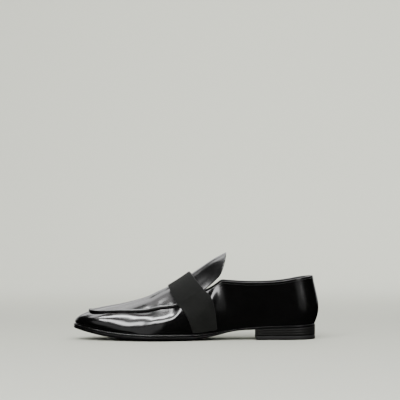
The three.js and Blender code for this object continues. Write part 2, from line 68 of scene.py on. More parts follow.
# Name, sideways tangent and height angle in degrees over the front horizon of its middle as seen
# from the shoe, distance, width, depth, brightness of its face, and what it lights.
SOFT_BOXES = [
    ("strip_box", -0.20, 88.2, 2.2, 0.66, 0.18, 50.0, "gloss"),
    ("key_box", -0.27, 66.0, 2.2, 0.56, 0.45, 25.0, "gloss"),
    ("throat_box", 1.25, 40.0, 2.2, 0.75, 0.60, 14.0, "gloss"),
    ("wing_box", -0.435, 98.0, 2.6, 0.44, 0.60, 2.6, "gloss"),
    ("low_wing_box", -0.435, 83.0, 2.6, 0.44, 0.70, 2.0, "gloss"),
    ("high_bank", 0.17, 116.0, 2.6, 4.0, 1.0, 4.8, "gloss"),
    ("back_bank", 0.24, 133.0, 2.6, 3.1, 0.7, 3.2, "gloss"),
    ("low_bank", 0.20, 150.0, 2.6, 2.8, 0.8, 2.1, "gloss"),
    ("backdrop_card", 0.10, 169.0, 2.6, 4.4, 0.95, 0.62, "gloss"),
    ("front_fill", -1.20, 30.0, 2.6, 1.9, 1.7, 0.7, "gloss"),
    ("back_fill", 2.20, 25.0, 2.6, 1.5, 1.4, 0.25, "gloss"),
    ("overhead_box", -0.10, 62.0, 2.8, 3.2, 1.8, 2.2, "matt"),
    ("front_box", -0.15, 33.0, 2.8, 3.2, 1.5, 5.2, "matt"),
]
WORLD_COLOUR = "#c8c8c8"
# Lamp that washes the paper behind the shoe: its size, place, the way its back faces, its power.
WASH_SIZE = (3.0, 0.6)
WASH_PLACE = (0.6, 1.3, 1.5)
WASH_BACK = (0.0, -1.0, 0.6)
WASH_POWER = 46.0


def linear(colour):
    """sRGB hex to linear: c / 12.92 below 0.04045, and ((c + 0.055) / 1.055) ^ 2.4 above."""
    parts = [int(colour[i:i + 2], 16) / 255 for i in (1, 3, 5)]
    return (*(c / 12.92 if c <= 0.04045 else ((c + 0.055) / 1.055) ** 2.4 for c in parts), 1.0)


def wire(tree, made, **inputs):
    """Gives a node's inputs sockets, nodes (their first output), hex colours or plain values.

    An input is named with _ for each space, or by _ and its number."""
    for name, value in inputs.items():
        socket = made.inputs[int(name[1:]) if name[1:].isdigit() else name.replace("_", " ")]
        if isinstance(value, bpy.types.Node):
            value = value.outputs[0]
        if isinstance(value, bpy.types.NodeSocket):
            tree.links.new(value, socket)
        else:
            socket.default_value = linear(value) if isinstance(value, str) else value


def node(tree, kind, settings=None, **inputs):
    """Adds a shader node with its settings and its inputs."""
    made = tree.nodes.new("ShaderNode" + kind)
    for name, value in (settings or {}).items():
        setattr(made, name, value)
    wire(tree, made, **inputs)
    return made


def material(name):
    """New material, its node tree, its Principled shader and the object's own coordinates."""
    made = bpy.data.materials.new(name)
    made.use_nodes = True
    tree = made.node_tree
    return made, tree, tree.nodes["Principled BSDF"], node(tree, "TexCoord").outputs["Object"]


def place_mesh(name, points, faces, finishes, finish_of_face=None):
    """Smooth mesh object at the origin from an array of points in metres and one of triangles."""
    mesh = bpy.data.meshes.new(name)
    mesh.from_pydata(points.tolist(), [], faces.tolist())
    for finish in finishes:
        mesh.materials.append(finish)
    if finish_of_face is not None:
        mesh.polygons.foreach_set("material_index", finish_of_face.astype(np.int32))
    mesh.polygons.foreach_set("use_smooth", np.ones(len(faces), dtype=bool))
    mesh.update()
    made = bpy.data.objects.new(name, mesh)
    bpy.context.scene.collection.objects.link(made)
    return made


def grid_faces(rows, columns):
    """Triangles of a grid of points, facing along row step x column step."""
    index = np.arange(rows * columns).reshape(rows, columns)
    a, b = index[:-1, :-1].ravel(), index[1:, :-1].ravel()
    c, d = index[1:, 1:].ravel(), index[:-1, 1:].ravel()
    return np.concatenate([np.stack([a, b, c], 1), np.stack([a, c, d], 1)])


def paper_sweep():
    """Paper as (side, run): flat floor, quarter circle of radius PAPER_BEND, then straight up."""
    turn = np.linspace(0, math.pi / 2, 25)
    y = np.concatenate([[PAPER_FRONT], PAPER_BACK - PAPER_BEND * (1 - np.sin(turn)), [PAPER_BACK]])
    z = np.concatenate([[0], PAPER_BEND * (1 - np.cos(turn)), [PAPER_TOP]])
    x = np.linspace(-PAPER_SIDE, PAPER_SIDE, 2)
    points = np.stack(np.broadcast_arrays(x[:, None], y, z), -1).reshape(-1, 3)
    return points, grid_faces(len(x), len(y))


def background_paper():
    """Uncoated paper off a wide roll: matt, with the faint cloud of its fibres."""
    finish, tree, shader, place = material("studio_paper")
    tooth = node(tree, "TexNoise", Vector=place, Scale=1 / (3 * MM), Detail=3.0)
    tint = node(tree, "MixRGB", Fac=tooth, Color1=PAPER_COLOUR, Color2=PAPER_SHADE)
    wire(tree, shader, Base_Color=tint, Roughness=0.85, Specular_IOR_Level=0.2)
    return finish


def area_lamp(name, width, depth, power):
    """Rectangular lamp, out of the camera's sight."""
    lamp = bpy.data.lights.new(name, "AREA")
    lamp.shape = "RECTANGLE"
    lamp.size, lamp.size_y, lamp.energy = width, depth, power
    made = bpy.data.objects.new(name, lamp)
    bpy.context.scene.collection.objects.link(made)
    made.visible_camera = False
    return made


paper = place_mesh("studio_paper", *paper_sweep(), [background_paper()])
# The photo's leather mirrors no paper, as if black flags stood round the shoe.
paper.visible_glossy = False

for name, tangent, height, distance, width, depth, brightness, lights_up in SOFT_BOXES:
    soft_box = area_lamp(name, width, depth, brightness * math.pi * width * depth)
    rise = math.radians(height)
    facing = Vector((tangent * abs(math.sin(rise)), -math.cos(rise), math.sin(rise))).normalized()
    level = (Vector((1, 0, 0)) - facing * facing.x).normalized()
    soft_box.location = facing * distance
    soft_box.rotation_euler = Matrix((level, facing.cross(level), facing)).transposed().to_euler()
    soft_box.visible_glossy = lights_up == "gloss"
    soft_box.visible_diffuse = lights_up == "matt"

wash = area_lamp("backdrop_wash", *WASH_SIZE, WASH_POWER)
wash.location = WASH_PLACE
wash.rotation_euler = Vector(WASH_BACK).to_track_quat("Z", "Y").to_euler()
wash.visible_glossy = False

# Even light from all round, which fills the shadows and which the leather doesn't mirror.
world = bpy.data.worlds.new("studio_air")
world.use_nodes = True
world.node_tree.nodes["Background"].inputs["Color"].default_value = linear(WORLD_COLOUR)
bpy.context.scene.world = world
world.cycles_visibility.glossy = False

lens = bpy.data.cameras.new("camera")
lens.sensor_width = SENSOR
lens.lens = SENSOR * FOCAL_PIXELS / PHOTO_PIXELS
camera = bpy.data.objects.new("camera", lens)
bpy.context.scene.collection.objects.link(camera)
camera.location = CAMERA_PLACE
camera.rotation_euler = (math.pi / 2, math.radians(CAMERA_ROLL), 0)
bpy.context.scene.camera = camera


# Outsole: vegetable tanned leather under the whole foot, its edge trimmed, inked black and waxed
# with a hot iron. It is stitched to the welt and stands flat under the ball.
SHOE_LENGTH = 302 * MM
BALL_WIDTH = 101 * MM
WAIST_WIDTH = 61 * MM
SEAT_WIDTH = 63 * MM
TOE_WIDTH = 63 * MM
TOE_SPRING = 13.2 * MM
SEAT_LIFT = 15.5 * MM
BREAST_LIFT = 13.0 * MM
SOLE_FOREPART = 5.1 * MM
SOLE_SEAT = 3.0 * MM
EDGE_LIFT = 1.55 * MM
EDGE_CURVE = 44 * MM
WELT_REACH = 3.0 * MM
TOE_REACH = 2.4 * MM
WAIST_REACH = 0.9 * MM
HEEL_LENGTH = 73 * MM
HEEL_INSET = 5.8 * MM
HEEL_BACK = HEEL_INSET / SHOE_LENGTH
BREAST = HEEL_BACK + HEEL_LENGTH / SHOE_LENGTH
# Station, centre line's shift towards the inner side, half width.
SOLE_PLAN = np.array([
    (0.00, 0.0, 0.490 * SEAT_WIDTH),
    (0.12, 0.0, 0.500 * SEAT_WIDTH),
    (0.26, -0.012 * BALL_WIDTH, 0.477 * SEAT_WIDTH),
    (0.40, -0.044 * BALL_WIDTH, 0.500 * WAIST_WIDTH),
    (0.54, -0.030 * BALL_WIDTH, 0.410 * BALL_WIDTH),
    (0.67, 0.004 * BALL_WIDTH, 0.500 * BALL_WIDTH),
    (0.79, 0.033 * BALL_WIDTH, 0.447 * BALL_WIDTH),
    (0.92, 0.052 * BALL_WIDTH, 0.520 * TOE_WIDTH),
    (1.00, 0.058 * BALL_WIDTH, 0.420 * TOE_WIDTH),
])
# Station, underside of the sole above the floor; below zero it is cut flat.
SOLE_PROFILE = np.array([
    (0.00, SEAT_LIFT),
    (0.13, 0.55 * SEAT_LIFT + 0.45 * BREAST_LIFT),
    (0.26, BREAST_LIFT),
    (0.34, 0.80 * BREAST_LIFT),
    (0.41, 0.43 * BREAST_LIFT),
    (0.48, 0.10 * BREAST_LIFT),
    (0.55, -0.03 * TOE_SPRING),
    (0.67, -0.03 * TOE_SPRING),
    (0.77, 0.09 * TOE_SPRING),
    (0.88, 0.37 * TOE_SPRING),
    (1.00, TOE_SPRING),
])
# Trimmed edge from bottom to top: share of the thickness, how far it is rounded in.
ROUND_EDGE = [(0.0, 0.5 * MM), (0.06, 0.22 * MM), (0.16, 0.05 * MM), (0.5, 0.0),
              (0.84, 0.05 * MM), (0.94, 0.22 * MM), (1.0, 0.5 * MM)]


def spline(table, column):
    """Natural cubic spline through one column of a table, as a function of its first column.

    Between two rows it is the straight mix of their values plus ((a^3 - a) * bend + (b^3 - b) *
    next bend) * span^2 / 6, and the bends solve the usual three-term equations."""
    x, y = table[:, 0], table[:, column]
    span = np.diff(x)
    system = np.eye(len(x))
    right = np.zeros(len(x))
    inner = np.arange(1, len(x) - 1)
    system[inner, inner - 1] = span[:-1]
    system[inner, inner] = 2 * (span[:-1] + span[1:])
    system[inner, inner + 1] = span[1:]
    right[inner] = 6 * np.diff(np.diff(y) / span)
    bend = np.linalg.solve(system, right)

    def value(at):
        at = np.clip(at, x[0], x[-1])
        i = np.clip(np.searchsorted(x, at, side="left") - 1, 0, len(span) - 1)
        b = (at - x[i]) / span[i]
        a = 1 - b
        curl = ((a ** 3 - a) * bend[i] + (b ** 3 - b) * bend[i + 1]) * span[i] ** 2 / 6
        return a * y[i] + b * y[i + 1] + curl

    return value


def ramp(start, end, x):
    """Smooth step: 3 t^2 - 2 t^3, t from 0 at start to 1 at end."""
    t = np.clip((x - start) / (end - start), 0, 1)
    return t * t * (3 - 2 * t)


def lerp(a, b, share):
    """The value a share of the way from a to b."""
    return a + (b - a) * share


def along(station):
    """Distance of a station ahead of the heel's middle line, as X: (0.5 - station) * length."""
    return (0.5 - station) * SHOE_LENGTH


def station_of(points):
    """Stations of points, from their X."""
    return 0.5 - points[..., 0] / SHOE_LENGTH


def upright(flat, height):
    """Vector from its plan part, an array of pairs, and its height."""
    return np.concatenate([flat, np.broadcast_to(height, flat.shape[:-1])[..., None]], -1)


def side_and_share(ring):
    """Side of the foot, -1 outer and 1 inner, and how far along that side from the back to the toe."""
    turned = np.mod(ring, 2)
    return np.where(turned <= 1, -1.0, 1.0), np.where(turned <= 1, turned, 2 - turned)


class PlanCurve:
    """Closed curve in plan, the same length on both sides of a centre line.

    half(s) = width(s) * r((s - back) / back_round) * r((front - s) / front_round), where
    r(t) = (1 - (1 - t)^p)^(1/p) rounds an end. A share runs along the half curve's own length."""

    def __init__(self, table, ends, rounds, powers):
        self.centre = spline(table, 1)
        self.width = spline(table, 2)
        self.ends, self.rounds, self.powers = ends, rounds, powers
        turn = np.linspace(0, math.pi, 2401)
        self.stations = lerp(ends[0], ends[1], (1 - np.cos(turn)) / 2)
        run = np.hypot(np.diff(along(self.stations)), np.diff(self.half(self.stations)))
        self.shares = np.concatenate([[0], np.cumsum(run)])
        self.shares /= self.shares[-1]

    def half(self, station):
        """Half width at a station, rounded at both ends."""
        value = self.width(station)
        reaches = (station - self.ends[0], self.ends[1] - station)
        for reach_in, end_round, power in zip(reaches, self.rounds, self.powers):
            left = 1 - np.clip(reach_in / end_round, 0, 1)
            value = value * (1 - left ** power) ** (1 / power)
        return value

    def station_at(self, share):
        """Station of the point a share of the way along one side."""
        return np.interp(share, self.shares, self.stations)

    def share_at(self, station):
        """How far along one side the point at a station lies."""
        return np.interp(station, self.stations, self.shares)

    def point(self, ring):
        """Plan point: the centre line, and the half width to the ring position's side of it."""
        side, share = side_and_share(ring)
        station = self.station_at(share)
        return np.stack([along(station), self.centre(station) + side * self.half(station)], -1)

    def outward(self, ring, step=0.0015):
        """Unit vector out of the curve in plan: its tangent turned a quarter turn."""
        run = self.point(ring + step) - self.point(ring - step)
        run = run / np.linalg.norm(run, axis=-1, keepdims=True)
        return np.stack([-run[..., 1], run[..., 0]], -1)


sole_plan = PlanCurve(SOLE_PLAN, (HEEL_BACK, 1.0), (0.105, 0.12), (2.05, 2.15))
sole_lift = spline(SOLE_PROFILE, 1)


def tread_height(station):
    """Underside of the sole in the middle: the profile, cut flat at the floor."""
    return np.maximum(0, sole_lift(station))


def sole_top(station):
    """Top of the outsole: its underside plus a thickness that grows from the waist to the tread."""
    thickness = lerp(SOLE_SEAT, SOLE_FOREPART, ramp(0.36, 0.56, station))
    return tread_height(station) + thickness * lerp(1, 0.8, ramp(0.9, 1, station))


def edge_reach(station):
    """How far sole and welt stand out beyond the upper."""
    wide = lerp(WAIST_REACH, WELT_REACH, ramp(0.36, 0.56, station))
    return wide * lerp(1, TOE_REACH / WELT_REACH, ramp(0.9, 1, station))


def inside_sole(ring, inset):
    """Plan point at a distance inside the sole's edge."""
    return sole_plan.point(ring) - sole_plan.outward(ring) * np.asarray(inset)[..., None]


# The last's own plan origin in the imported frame, from where the outsole's solid lies.
outsole_low, outsole_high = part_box("outsole")
edge = sole_plan.point(np.linspace(0, 2, 4001))
ORIGIN = np.array([
    outsole_high.x - along(HEEL_BACK),
    (outsole_low.y + outsole_high.y - edge[:, 1].min() - edge[:, 1].max()) / 2,
    0.0,
])


def weld(points, faces, *values):
    """Joins points that coincide to a micrometre, with the largest of their values, and drops the
    triangles that this flattens or lays back to back."""
    keys = np.round(points * 1e6).astype(np.int64)
    _, first, back = np.unique(keys, axis=0, return_index=True, return_inverse=True)
    back = back.reshape(-1)
    faces = back[faces]
    a, b, c = faces.T
    faces = faces[(a != b) & (b != c) & (c != a)]
    _, twin, count = np.unique(np.sort(faces, 1), axis=0, return_inverse=True, return_counts=True)
    faces = faces[count[twin.reshape(-1)] == 1]
    kept = []
    for value in values:
        largest = np.full(len(first), value.min())
        np.maximum.at(largest, back, value)
        kept.append(largest)
    return points[first], faces, *kept


def closed_tube(rings):
    """Closed body from an array (along, around, 3) of rings: its ends are closed to their middles."""
    count, around = rings.shape[:2]
    ends = rings[[0, -1]].mean(1)
    looped = np.concatenate([rings, rings[:, :1]], 1)
    column = np.ones(looped.shape[1])[None, :, None]
    rows = np.concatenate([ends[:1, None] * column, looped, ends[1:, None] * column])
    return weld(rows.reshape(-1, 3), grid_faces(count + 2, around + 1))


def sole_layer(shares, bottom, top, inset, edge_rows, across_steps, front=None):
    """Layer of the sole as a closed body: across each share, over the top and back underneath.

    bottom and top give heights from station, plan point and distance inside the edge; edge_rows
    gives (height share, extra inset) pairs of the trimmed edge from the bottom to the top."""
    across = np.linspace(-1, 1, across_steps)
    shares = np.asarray(shares)[:, None]
    under = across[::-1]
    u = np.concatenate([across, np.ones(len(edge_rows)), under, -np.ones(len(edge_rows))])
    heights = np.array([row[0] for row in edge_rows])
    insets = np.array([row[1] for row in edge_rows])
    level = np.concatenate([np.zeros(across_steps), heights, np.ones(across_steps), heights[::-1]])
    extra = np.concatenate([np.full(across_steps, insets[0]), insets,
                            np.full(across_steps, insets[-1]), insets[::-1]])
    station = sole_plan.station_at(shares)
    depth = inset(station) + extra
    outer = inside_sole(shares + 0 * u, depth)
    inner = inside_sole(2 - shares + 0 * u, depth)
    flat = outer + (inner - outer) * ((1 + u) / 2)[None, :, None]
    if front is not None:
        flat[..., 0] += front(shares, u)
    place = station_of(flat)
    gap = np.maximum(0, sole_plan.half(place) - np.abs(flat[..., 1] - sole_plan.centre(place)))
    z = lerp(bottom(place, gap), top(place, gap), level)
    return closed_tube(upright(flat, z) + ORIGIN)


def sole_shares(start, end, steps):
    """Shares of a side, closer together at the rounded ends: start + (end - start) * (1 - cos) / 2."""
    turn = np.linspace(0, math.pi, steps)
    return lerp(start, end, lerp(np.linspace(0, 1, steps), (1 - np.cos(turn)) / 2, 0.7))


def outsole_bottom(place, gap):
    """Underside: the profile, lifted by EDGE_LIFT * (1 - gap / EDGE_CURVE)^2 towards the edge."""
    curve = np.maximum(0, 1 - gap / EDGE_CURVE) ** 2
    return tread_height(place) + EDGE_LIFT * curve * ramp(BREAST + 0.01, BREAST + 0.12, place)


def edge_leather(name, colour, streak_height, roughness, gloss=0.3):
    """Inked and waxed sole leather: fibres in layers along the edge, with scuffs in the wax."""
    finish, tree, shader, place = material(name)
    layered = node(tree, "Mapping", Vector=place, Scale=(0.06, 0.06, 1.0))
    fibre = node(tree, "TexNoise", Vector=layered, Scale=1 / streak_height, Detail=4.0)
    scuff = node(tree, "TexNoise", Vector=place, Scale=1 / (9 * MM), Detail=5.0, Roughness=0.6)
    tone = node(tree, "ValToRGB", Fac=fibre)
    dark, light = tone.color_ramp.elements
    dark.position, dark.color = 0.35, linear(colour)
    light.position, light.color = 0.7, (*(c * 1.5 for c in linear(colour)[:3]), 1.0)
    dull = node(tree, "MapRange", Value=scuff, To_Min=roughness - 0.07, To_Max=roughness + 0.12)
    relief = node(tree, "Bump", Strength=0.25, Distance=0.15 * MM, Height=fibre)
    wire(tree, shader, Base_Color=tone, Roughness=dull, Specular_IOR_Level=gloss, Normal=relief)
    return finish


# Bend leather, inked black: a satin wax film over faint fibre layers.
inked_edge = edge_leather("inked_sole_leather", "#080808", 0.5 * MM, 0.33)
outsole = place_mesh(
    "outsole_edge_and_tread",
    *sole_layer(sole_shares(0, 1, 150), outsole_bottom, lambda place, gap: sole_top(place),
                lambda station: 0 * station, ROUND_EDGE, 41),
    [inked_edge])
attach(outsole, "root")
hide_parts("outsole")


# Heel: lifts of leather pegged and glued in a stack, breasted to a hollow curve, edges inked and
# waxed like the sole's but drier. A thin black line marks the seat where it meets the outsole.
FIT = 0.3 * MM
TOP_PIECE_THICKNESS = 5 * MM
BREAST_HOLLOW = 4 * MM
LIFT_THICKNESS = 2.6 * MM
STACK_HEIGHT = 9 * MM


def hollow_breast(shares, u):
    """Heel's front face: moved back by BREAST_HOLLOW * (1 - u^2) * (share / end)^3."""
    return BREAST_HOLLOW * (1 - u * u) * (shares / sole_plan.share_at(BREAST)) ** 3


def stacked_edge(height, lift):
    """Edge of a stack: a groove of 0.12 mm between lifts, each lift's corners barely rounded."""
    count = max(1, round(height / lift))
    rows = [(0.0, 0.35 * MM), (0.02, 0.1 * MM)]
    for k in range(1, count):
        line = k / count
        rows += [(line - 0.02, 0.0), (line, 0.12 * MM), (line + 0.02, 0.0)]
    return rows + [(0.98, 0.05 * MM), (1.0, 0.2 * MM)]


heel_shares = sole_shares(0, float(sole_plan.share_at(BREAST)), 60)
# Leather lifts, inked and rubbed with wax: drier and duller than the sole's edge.
heel_finish = edge_leather("stacked_heel_leather", "#0e0e0d", 0.4 * MM, 0.5)
heel = place_mesh(
    "stacked_heel",
    *sole_layer(heel_shares, lambda place, gap: 0 * place + TOP_PIECE_THICKNESS + 0.5 * FIT,
                lambda place, gap: tread_height(place) - 0.5 * FIT,
                lambda station: 0 * station, stacked_edge(STACK_HEIGHT, LIFT_THICKNESS), 15,
                hollow_breast),
    [heel_finish])
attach(heel, "root")
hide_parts("heel_block")


# Top piece: moulded black rubber under the heel, nailed and glued on, buffed flush with the stack.
def buffed_rubber():
    """Carbon-black natural rubber, buffed: matt, with the fine scratches of the wheel."""
    finish, tree, shader, place = material("buffed_rubber")
    drawn = node(tree, "Mapping", Vector=place, Scale=(0.1, 0.1, 1.0))
    scratch = node(tree, "TexNoise", Vector=drawn, Scale=1 / (0.3 * MM), Detail=3.0)
    tone = node(tree, "MixRGB", Fac=scratch, Color1="#0e0e0e", Color2="#191918")
    relief = node(tree, "Bump", Strength=0.3, Distance=0.1 * MM, Height=scratch)
    wire(tree, shader, Base_Color=tone, Roughness=0.62, Normal=relief)
    return finish


top_piece = place_mesh(
    "rubber_top_piece",
    *sole_layer(heel_shares, lambda place, gap: 0 * place,
                lambda place, gap: 0 * place + TOP_PIECE_THICKNESS,
                lambda station: 0 * station, ROUND_EDGE, 15, hollow_breast),
    [buffed_rubber()])
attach(top_piece, "root")
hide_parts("top_piece")


# Insole with its sock: smooth black lining leather glued over the insole from heel to toe, with a
# shallow cup for the heel.
INSOLE_THICKNESS = 3.2 * MM
UPPER_WALL = 1.8 * MM


def lining_leather():
    """Drum-dyed calf lining: fine closed grain, low sheen, a little lighter where it is handled."""
    finish, tree, shader, place = material("calf_lining")
    grain = node(tree, "TexVoronoi", Vector=place, Scale=1 / (0.9 * MM))
    wear = node(tree, "TexNoise", Vector=place, Scale=1 / (22 * MM), Detail=4.0)
    tone = node(tree, "MixRGB", Fac=wear, Color1="#1c1a19", Color2="#2b2826")
    relief = node(tree, "Bump", Strength=0.35, Distance=0.12 * MM, Height=grain)
    wire(tree, shader, Base_Color=tone, Roughness=0.55, Normal=relief)
    return finish


def insole_top(place, gap):
    """Sock's surface: level, dished by 0.8 mm in the middle of the heel seat."""
    dish = 0.8 * MM * ramp(4 * MM, 22 * MM, gap) * (1 - ramp(0.2, 0.34, place))
    return sole_top(place) + FIT + INSOLE_THICKNESS - dish


calf_lining = lining_leather()
insole = place_mesh(
    "insole_sock",
    *sole_layer(sole_shares(0, 1, 110), lambda place, gap: sole_top(place) + FIT, insole_top,
                lambda station: edge_reach(station) + UPPER_WALL + 1.5 * FIT, ROUND_EDGE, 25),
    [calf_lining])
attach(insole, "root")
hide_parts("insole")


# Welt: a strip of leather round the forepart, sewn to the upper and stitched down to the outsole
# with waxed thread, its top pricked between the stitches with a hot wheel.
SIDE_RUN = np.diff(sole_plan.point(np.linspace(0, 1, 2001)), axis=0)
SIDE_LENGTH = float(np.linalg.norm(SIDE_RUN, axis=1).sum())
WELT_THICKNESS = 2.3 * MM
WELT_END = 0.35
WHEEL_PITCH = 2.2 * MM
WHEEL_DEPTH = 0.35 * MM
WELT_STITCH = 3.3 * MM
# Length, width and height of a stitch.
WELT_STITCH_SIZE = (0.78 * WELT_STITCH, 0.9 * MM, 0.42 * MM)
# Share of the width, share of the thickness, share of the wheel's dent.
WELT_SECTION = np.array([
    (0.00, 0.25, 0.0), (0.00, 0.62, 0.0), (0.03, 0.84, 0.8), (0.10, 0.97, 1.0), (0.20, 1.00, 1.0),
    (0.30, 1.00, 0.3), (0.38, 0.90, 0.0), (0.46, 0.90, 0.0), (0.54, 1.00, 0.0), (1.00, 1.00, 0.0),
    (1.00, 0.00, 0.0), (0.10, 0.00, 0.0), (0.03, 0.08, 0.0),
])


def welt_thickness(station):
    """Thickness of the welt, skived thin towards its ends at the waist."""
    return WELT_THICKNESS * lerp(0.22, 1, ramp(WELT_END, 0.52, station))


def welt_strip():
    """Strip as (ring, around): an oblong section from the edge in to under the upper, its outer
    corner dented by WHEEL_DEPTH * (1 - cos(2 pi * distance / WHEEL_PITCH)) / 2."""
    start = float(sole_plan.share_at(WELT_END))
    half = np.linspace(start, 1, 1100)
    ring = np.concatenate([half, 2 - half[-2::-1]])[:, None]
    share = side_and_share(ring)[1]
    station = sole_plan.station_at(share)
    width = edge_reach(station) + UPPER_WALL
    inset, level, dented = WELT_SECTION.T
    flat = inside_sole(ring + 0 * inset, width * inset)
    place = station_of(flat)
    waves = (share - start) * SIDE_LENGTH / WHEEL_PITCH
    dent = WHEEL_DEPTH * (1 - np.cos(2 * math.pi * waves)) / 2
    dent = dent * ramp(WELT_END, WELT_END + 0.1, station)
    z = sole_top(place) + FIT + welt_thickness(place) * level - dent * dented
    return closed_tube((upright(flat, z) + ORIGIN)[:, ::-1])


def stitch_row(middles, runs, aside, up, length, width, height):
    """One stretched ball a stitch: middle + run * cos a * length / 2 + sin a * (aside * cos b *
    width / 2 + up * sin b * height), for a from 0 to 180 and b from 0 to 360 degrees."""
    rows, columns = 7, 9
    a = np.linspace(0, math.pi, rows)[None, :, None, None]
    b = np.linspace(0, 2 * math.pi, columns)[None, None, :, None]
    run, side, rise = (v[:, None, None] for v in (runs, aside, up))
    points = middles[:, None, None] + run * np.cos(a) * length / 2
    points = points + np.sin(a) * (side * np.cos(b) * width / 2 + rise * np.sin(b) * height)
    first = np.arange(len(middles)) * rows * columns
    faces = grid_faces(rows, columns)[None] + first[:, None, None]
    return weld(points.reshape(-1, 3), faces.reshape(-1, 3))


def unit(vectors):
    """Vectors divided by their lengths."""
    return vectors / np.linalg.norm(vectors, axis=-1, keepdims=True)


def welt_stitches():
    """Stitches in the welt's groove, WELT_STITCH apart."""
    start = float(sole_plan.share_at(WELT_END + 0.03))
    count = round((1 - start) * SIDE_LENGTH / WELT_STITCH)
    half = start + (np.arange(count) + 0.5) * (1 - start) / count
    ring = np.concatenate([half, 2 - half[::-1]])
    station = sole_plan.station_at(side_and_share(ring)[1])
    depth = 0.42 * (edge_reach(station) + UPPER_WALL)
    flat = inside_sole(ring, depth)
    place = station_of(flat)
    z = sole_top(place) + FIT + welt_thickness(place) * 0.95
    aside = upright(sole_plan.outward(ring), 0.0)
    runs = np.stack([aside[:, 1], -aside[:, 0], np.zeros(len(ring))], -1)
    up = np.cross(aside, runs) * -1.0
    return stitch_row(upright(flat, z) + ORIGIN, runs, aside, up, *WELT_STITCH_SIZE)


def waxed_thread():
    """Linen thread drawn through black wax: two plies twisted, the wax giving it a dull shine."""
    finish, tree, shader, place = material("waxed_linen_thread")
    ply = node(tree, "TexNoise", Vector=place, Scale=1 / (0.5 * MM), Detail=2.0)
    tone = node(tree, "MixRGB", Fac=ply, Color1="#1c1c1c", Color2="#333331")
    relief = node(tree, "Bump", Strength=0.3, Distance=0.1 * MM, Height=ply)
    wire(tree, shader, Base_Color=tone, Roughness=0.28, Normal=relief)
    return finish


# Split leather, dyed and waxed to a hard shine: its pricked corner glints in a row of points.
welt_finish = edge_leather("dyed_welt_leather", "#0c0c0c", 0.8 * MM, 0.18, 1.0)
welt = place_mesh("welt_strip", *welt_strip(), [welt_finish])
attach(welt, "root")
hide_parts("welt")

thread = waxed_thread()
welt_thread = place_mesh("welt_stitches", *welt_stitches(), [thread])
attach(welt_thread, "root")


# Upper: vamp, raised apron and quarters of calf lacquered to patent leather, lined with calf,
# pulled over the last and closed at the back. The apron is sewn on with a raised seam.
SEAM_HEIGHT = 36.4 * MM
CREST_HEIGHT = 59.0 * MM
INSTEP_HEIGHT = 81.5 * MM
TONGUE_HEIGHT = 108 * MM
SIDE_HEIGHT = 69 * MM
BACK_HEIGHT = 77 * MM
APRON_WIDTH = 61 * MM
TONGUE_WIDTH = 64 * MM
COLLAR_WIDTH = 50 * MM
THROAT_GAP = 12 * MM
CORNER_ROUND = 2.5 * MM
HIGH_LINE = 0.926 * TONGUE_HEIGHT
VAMP_END = 0.522
SEAM_STEP = 3.0 * MM
STEP_RUNOUT = (VAMP_END + 0.035, VAMP_END + 0.075)
# Instep line: station, centre, half width, height.
INSTEP_LINE = np.array([
    (0.038, 0.0, 0.44 * COLLAR_WIDTH, HIGH_LINE),
    (0.200, 0.0, 0.50 * COLLAR_WIDTH, HIGH_LINE),
    (0.310, 0.0, 0.50 * COLLAR_WIDTH, 0.985 * HIGH_LINE),
    (0.370, 0.010 * BALL_WIDTH, 0.405 * TONGUE_WIDTH, 0.905 * HIGH_LINE),
    (0.410, 0.010 * BALL_WIDTH, 0.438 * TONGUE_WIDTH, 0.975 * INSTEP_HEIGHT),
    (0.445, 0.010 * BALL_WIDTH, 0.475 * TONGUE_WIDTH, 0.853 * INSTEP_HEIGHT),
    (0.485, 0.010 * BALL_WIDTH, 0.510 * TONGUE_WIDTH, 0.742 * INSTEP_HEIGHT),
    (0.530, 0.012 * BALL_WIDTH, 0.522 * TONGUE_WIDTH, 0.630 * INSTEP_HEIGHT),
    (0.575, 0.015 * BALL_WIDTH, 0.535 * APRON_WIDTH, 0.538 * INSTEP_HEIGHT),
    (0.650, 0.020 * BALL_WIDTH, 0.500 * APRON_WIDTH, 1.105 * SEAM_HEIGHT),
    (0.690, 0.024 * BALL_WIDTH, 0.485 * APRON_WIDTH, 1.035 * SEAM_HEIGHT),
    (0.740, 0.029 * BALL_WIDTH, 0.470 * APRON_WIDTH, 1.003 * SEAM_HEIGHT),
    (0.850, 0.040 * BALL_WIDTH, 0.440 * APRON_WIDTH, SEAM_HEIGHT),
    (0.900, 0.043 * BALL_WIDTH, 0.420 * APRON_WIDTH, 0.982 * SEAM_HEIGHT),
    (0.923, 0.045 * BALL_WIDTH, 0.410 * APRON_WIDTH, 0.987 * SEAM_HEIGHT),
    (0.938, 0.046 * BALL_WIDTH, 0.400 * APRON_WIDTH, 1.016 * SEAM_HEIGHT),
])
# Middle line over the top of the last: station, height.
CREST_LINE = np.array([
    (0.370, 1.022 * TONGUE_HEIGHT),
    (0.400, 0.978 * TONGUE_HEIGHT),
    (0.435, 0.926 * TONGUE_HEIGHT),
    (0.480, 1.118 * INSTEP_HEIGHT),
    (0.527, INSTEP_HEIGHT),
    (0.570, 0.893 * INSTEP_HEIGHT),
    (0.615, 0.794 * INSTEP_HEIGHT),
    (0.655, CREST_HEIGHT),
    (0.700, 0.890 * CREST_HEIGHT),
    (0.750, 0.812 * CREST_HEIGHT),
    (0.810, 0.738 * CREST_HEIGHT),
    (0.870, 1.110 * SEAM_HEIGHT),
    (0.910, 1.046 * SEAM_HEIGHT),
    (0.938, 1.016 * SEAM_HEIGHT),
])
# Station, how far a line across the crown bows forwards in stations, how square its arch is.
CROWN = np.array([
    (0.370, 0.056, 2.00),
    (0.475, 0.052, 2.00),
    (0.575, 0.039, 2.00),
    (0.650, 0.024, 2.05),
    (0.750, 0.010, 2.20),
    (0.850, 0.003, 2.30),
    (0.938, 0.000, 2.30),
])
